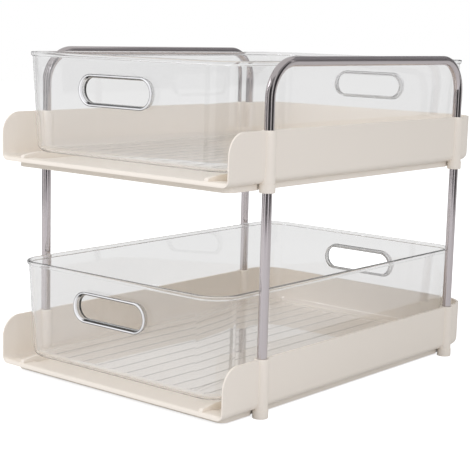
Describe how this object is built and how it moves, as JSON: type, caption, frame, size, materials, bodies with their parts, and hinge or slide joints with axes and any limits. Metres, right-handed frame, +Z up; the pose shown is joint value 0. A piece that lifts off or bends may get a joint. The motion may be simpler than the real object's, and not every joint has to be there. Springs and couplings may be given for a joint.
{
  "type": "two-tier storage shelf",
  "caption": "Two-tier organizer shelf with stacked moulded trays on steel tube posts, side handles and clear pull-out bins on runners.",
  "frame": {"origin": "centre of the footprint, on the surface the feet stand on", "axes": "+X to the right seen from the open front, +Y to the back, +Z up; the bins pull out along -Y"},
  "size_m": [0.309, 0.437, 0.3338],
  "materials": {
    "tray_plastic": "satin",
    "steel_tube": "brushed along the tube",
    "clear_plastic": "clear and glossy"
  },
  "bodies": {
    "stand": {"lower_tray": "tray_plastic", "upper_tray": "tray_plastic", "left_handle": "steel_tube", "right_handle": "steel_tube", "front_left_post": "steel_tube", "front_right_post": "steel_tube", "rear_left_post": "steel_tube", "rear_right_post": "steel_tube"},
    "lower_bin_body": {"lower_bin": "clear_plastic"},
    "upper_bin_body": {"upper_bin": "clear_plastic"}
  },
  "joints": [
    {"name": "lower_bin_slide", "type": "slide", "parent": "stand", "child": "lower_bin_body", "axis": [0, -1, 0], "range_m": [0, 0.43]},
    {"name": "upper_bin_slide", "type": "slide", "parent": "stand", "child": "upper_bin_body", "axis": [0, -1, 0], "range_m": [0, 0.43]}
  ]
}
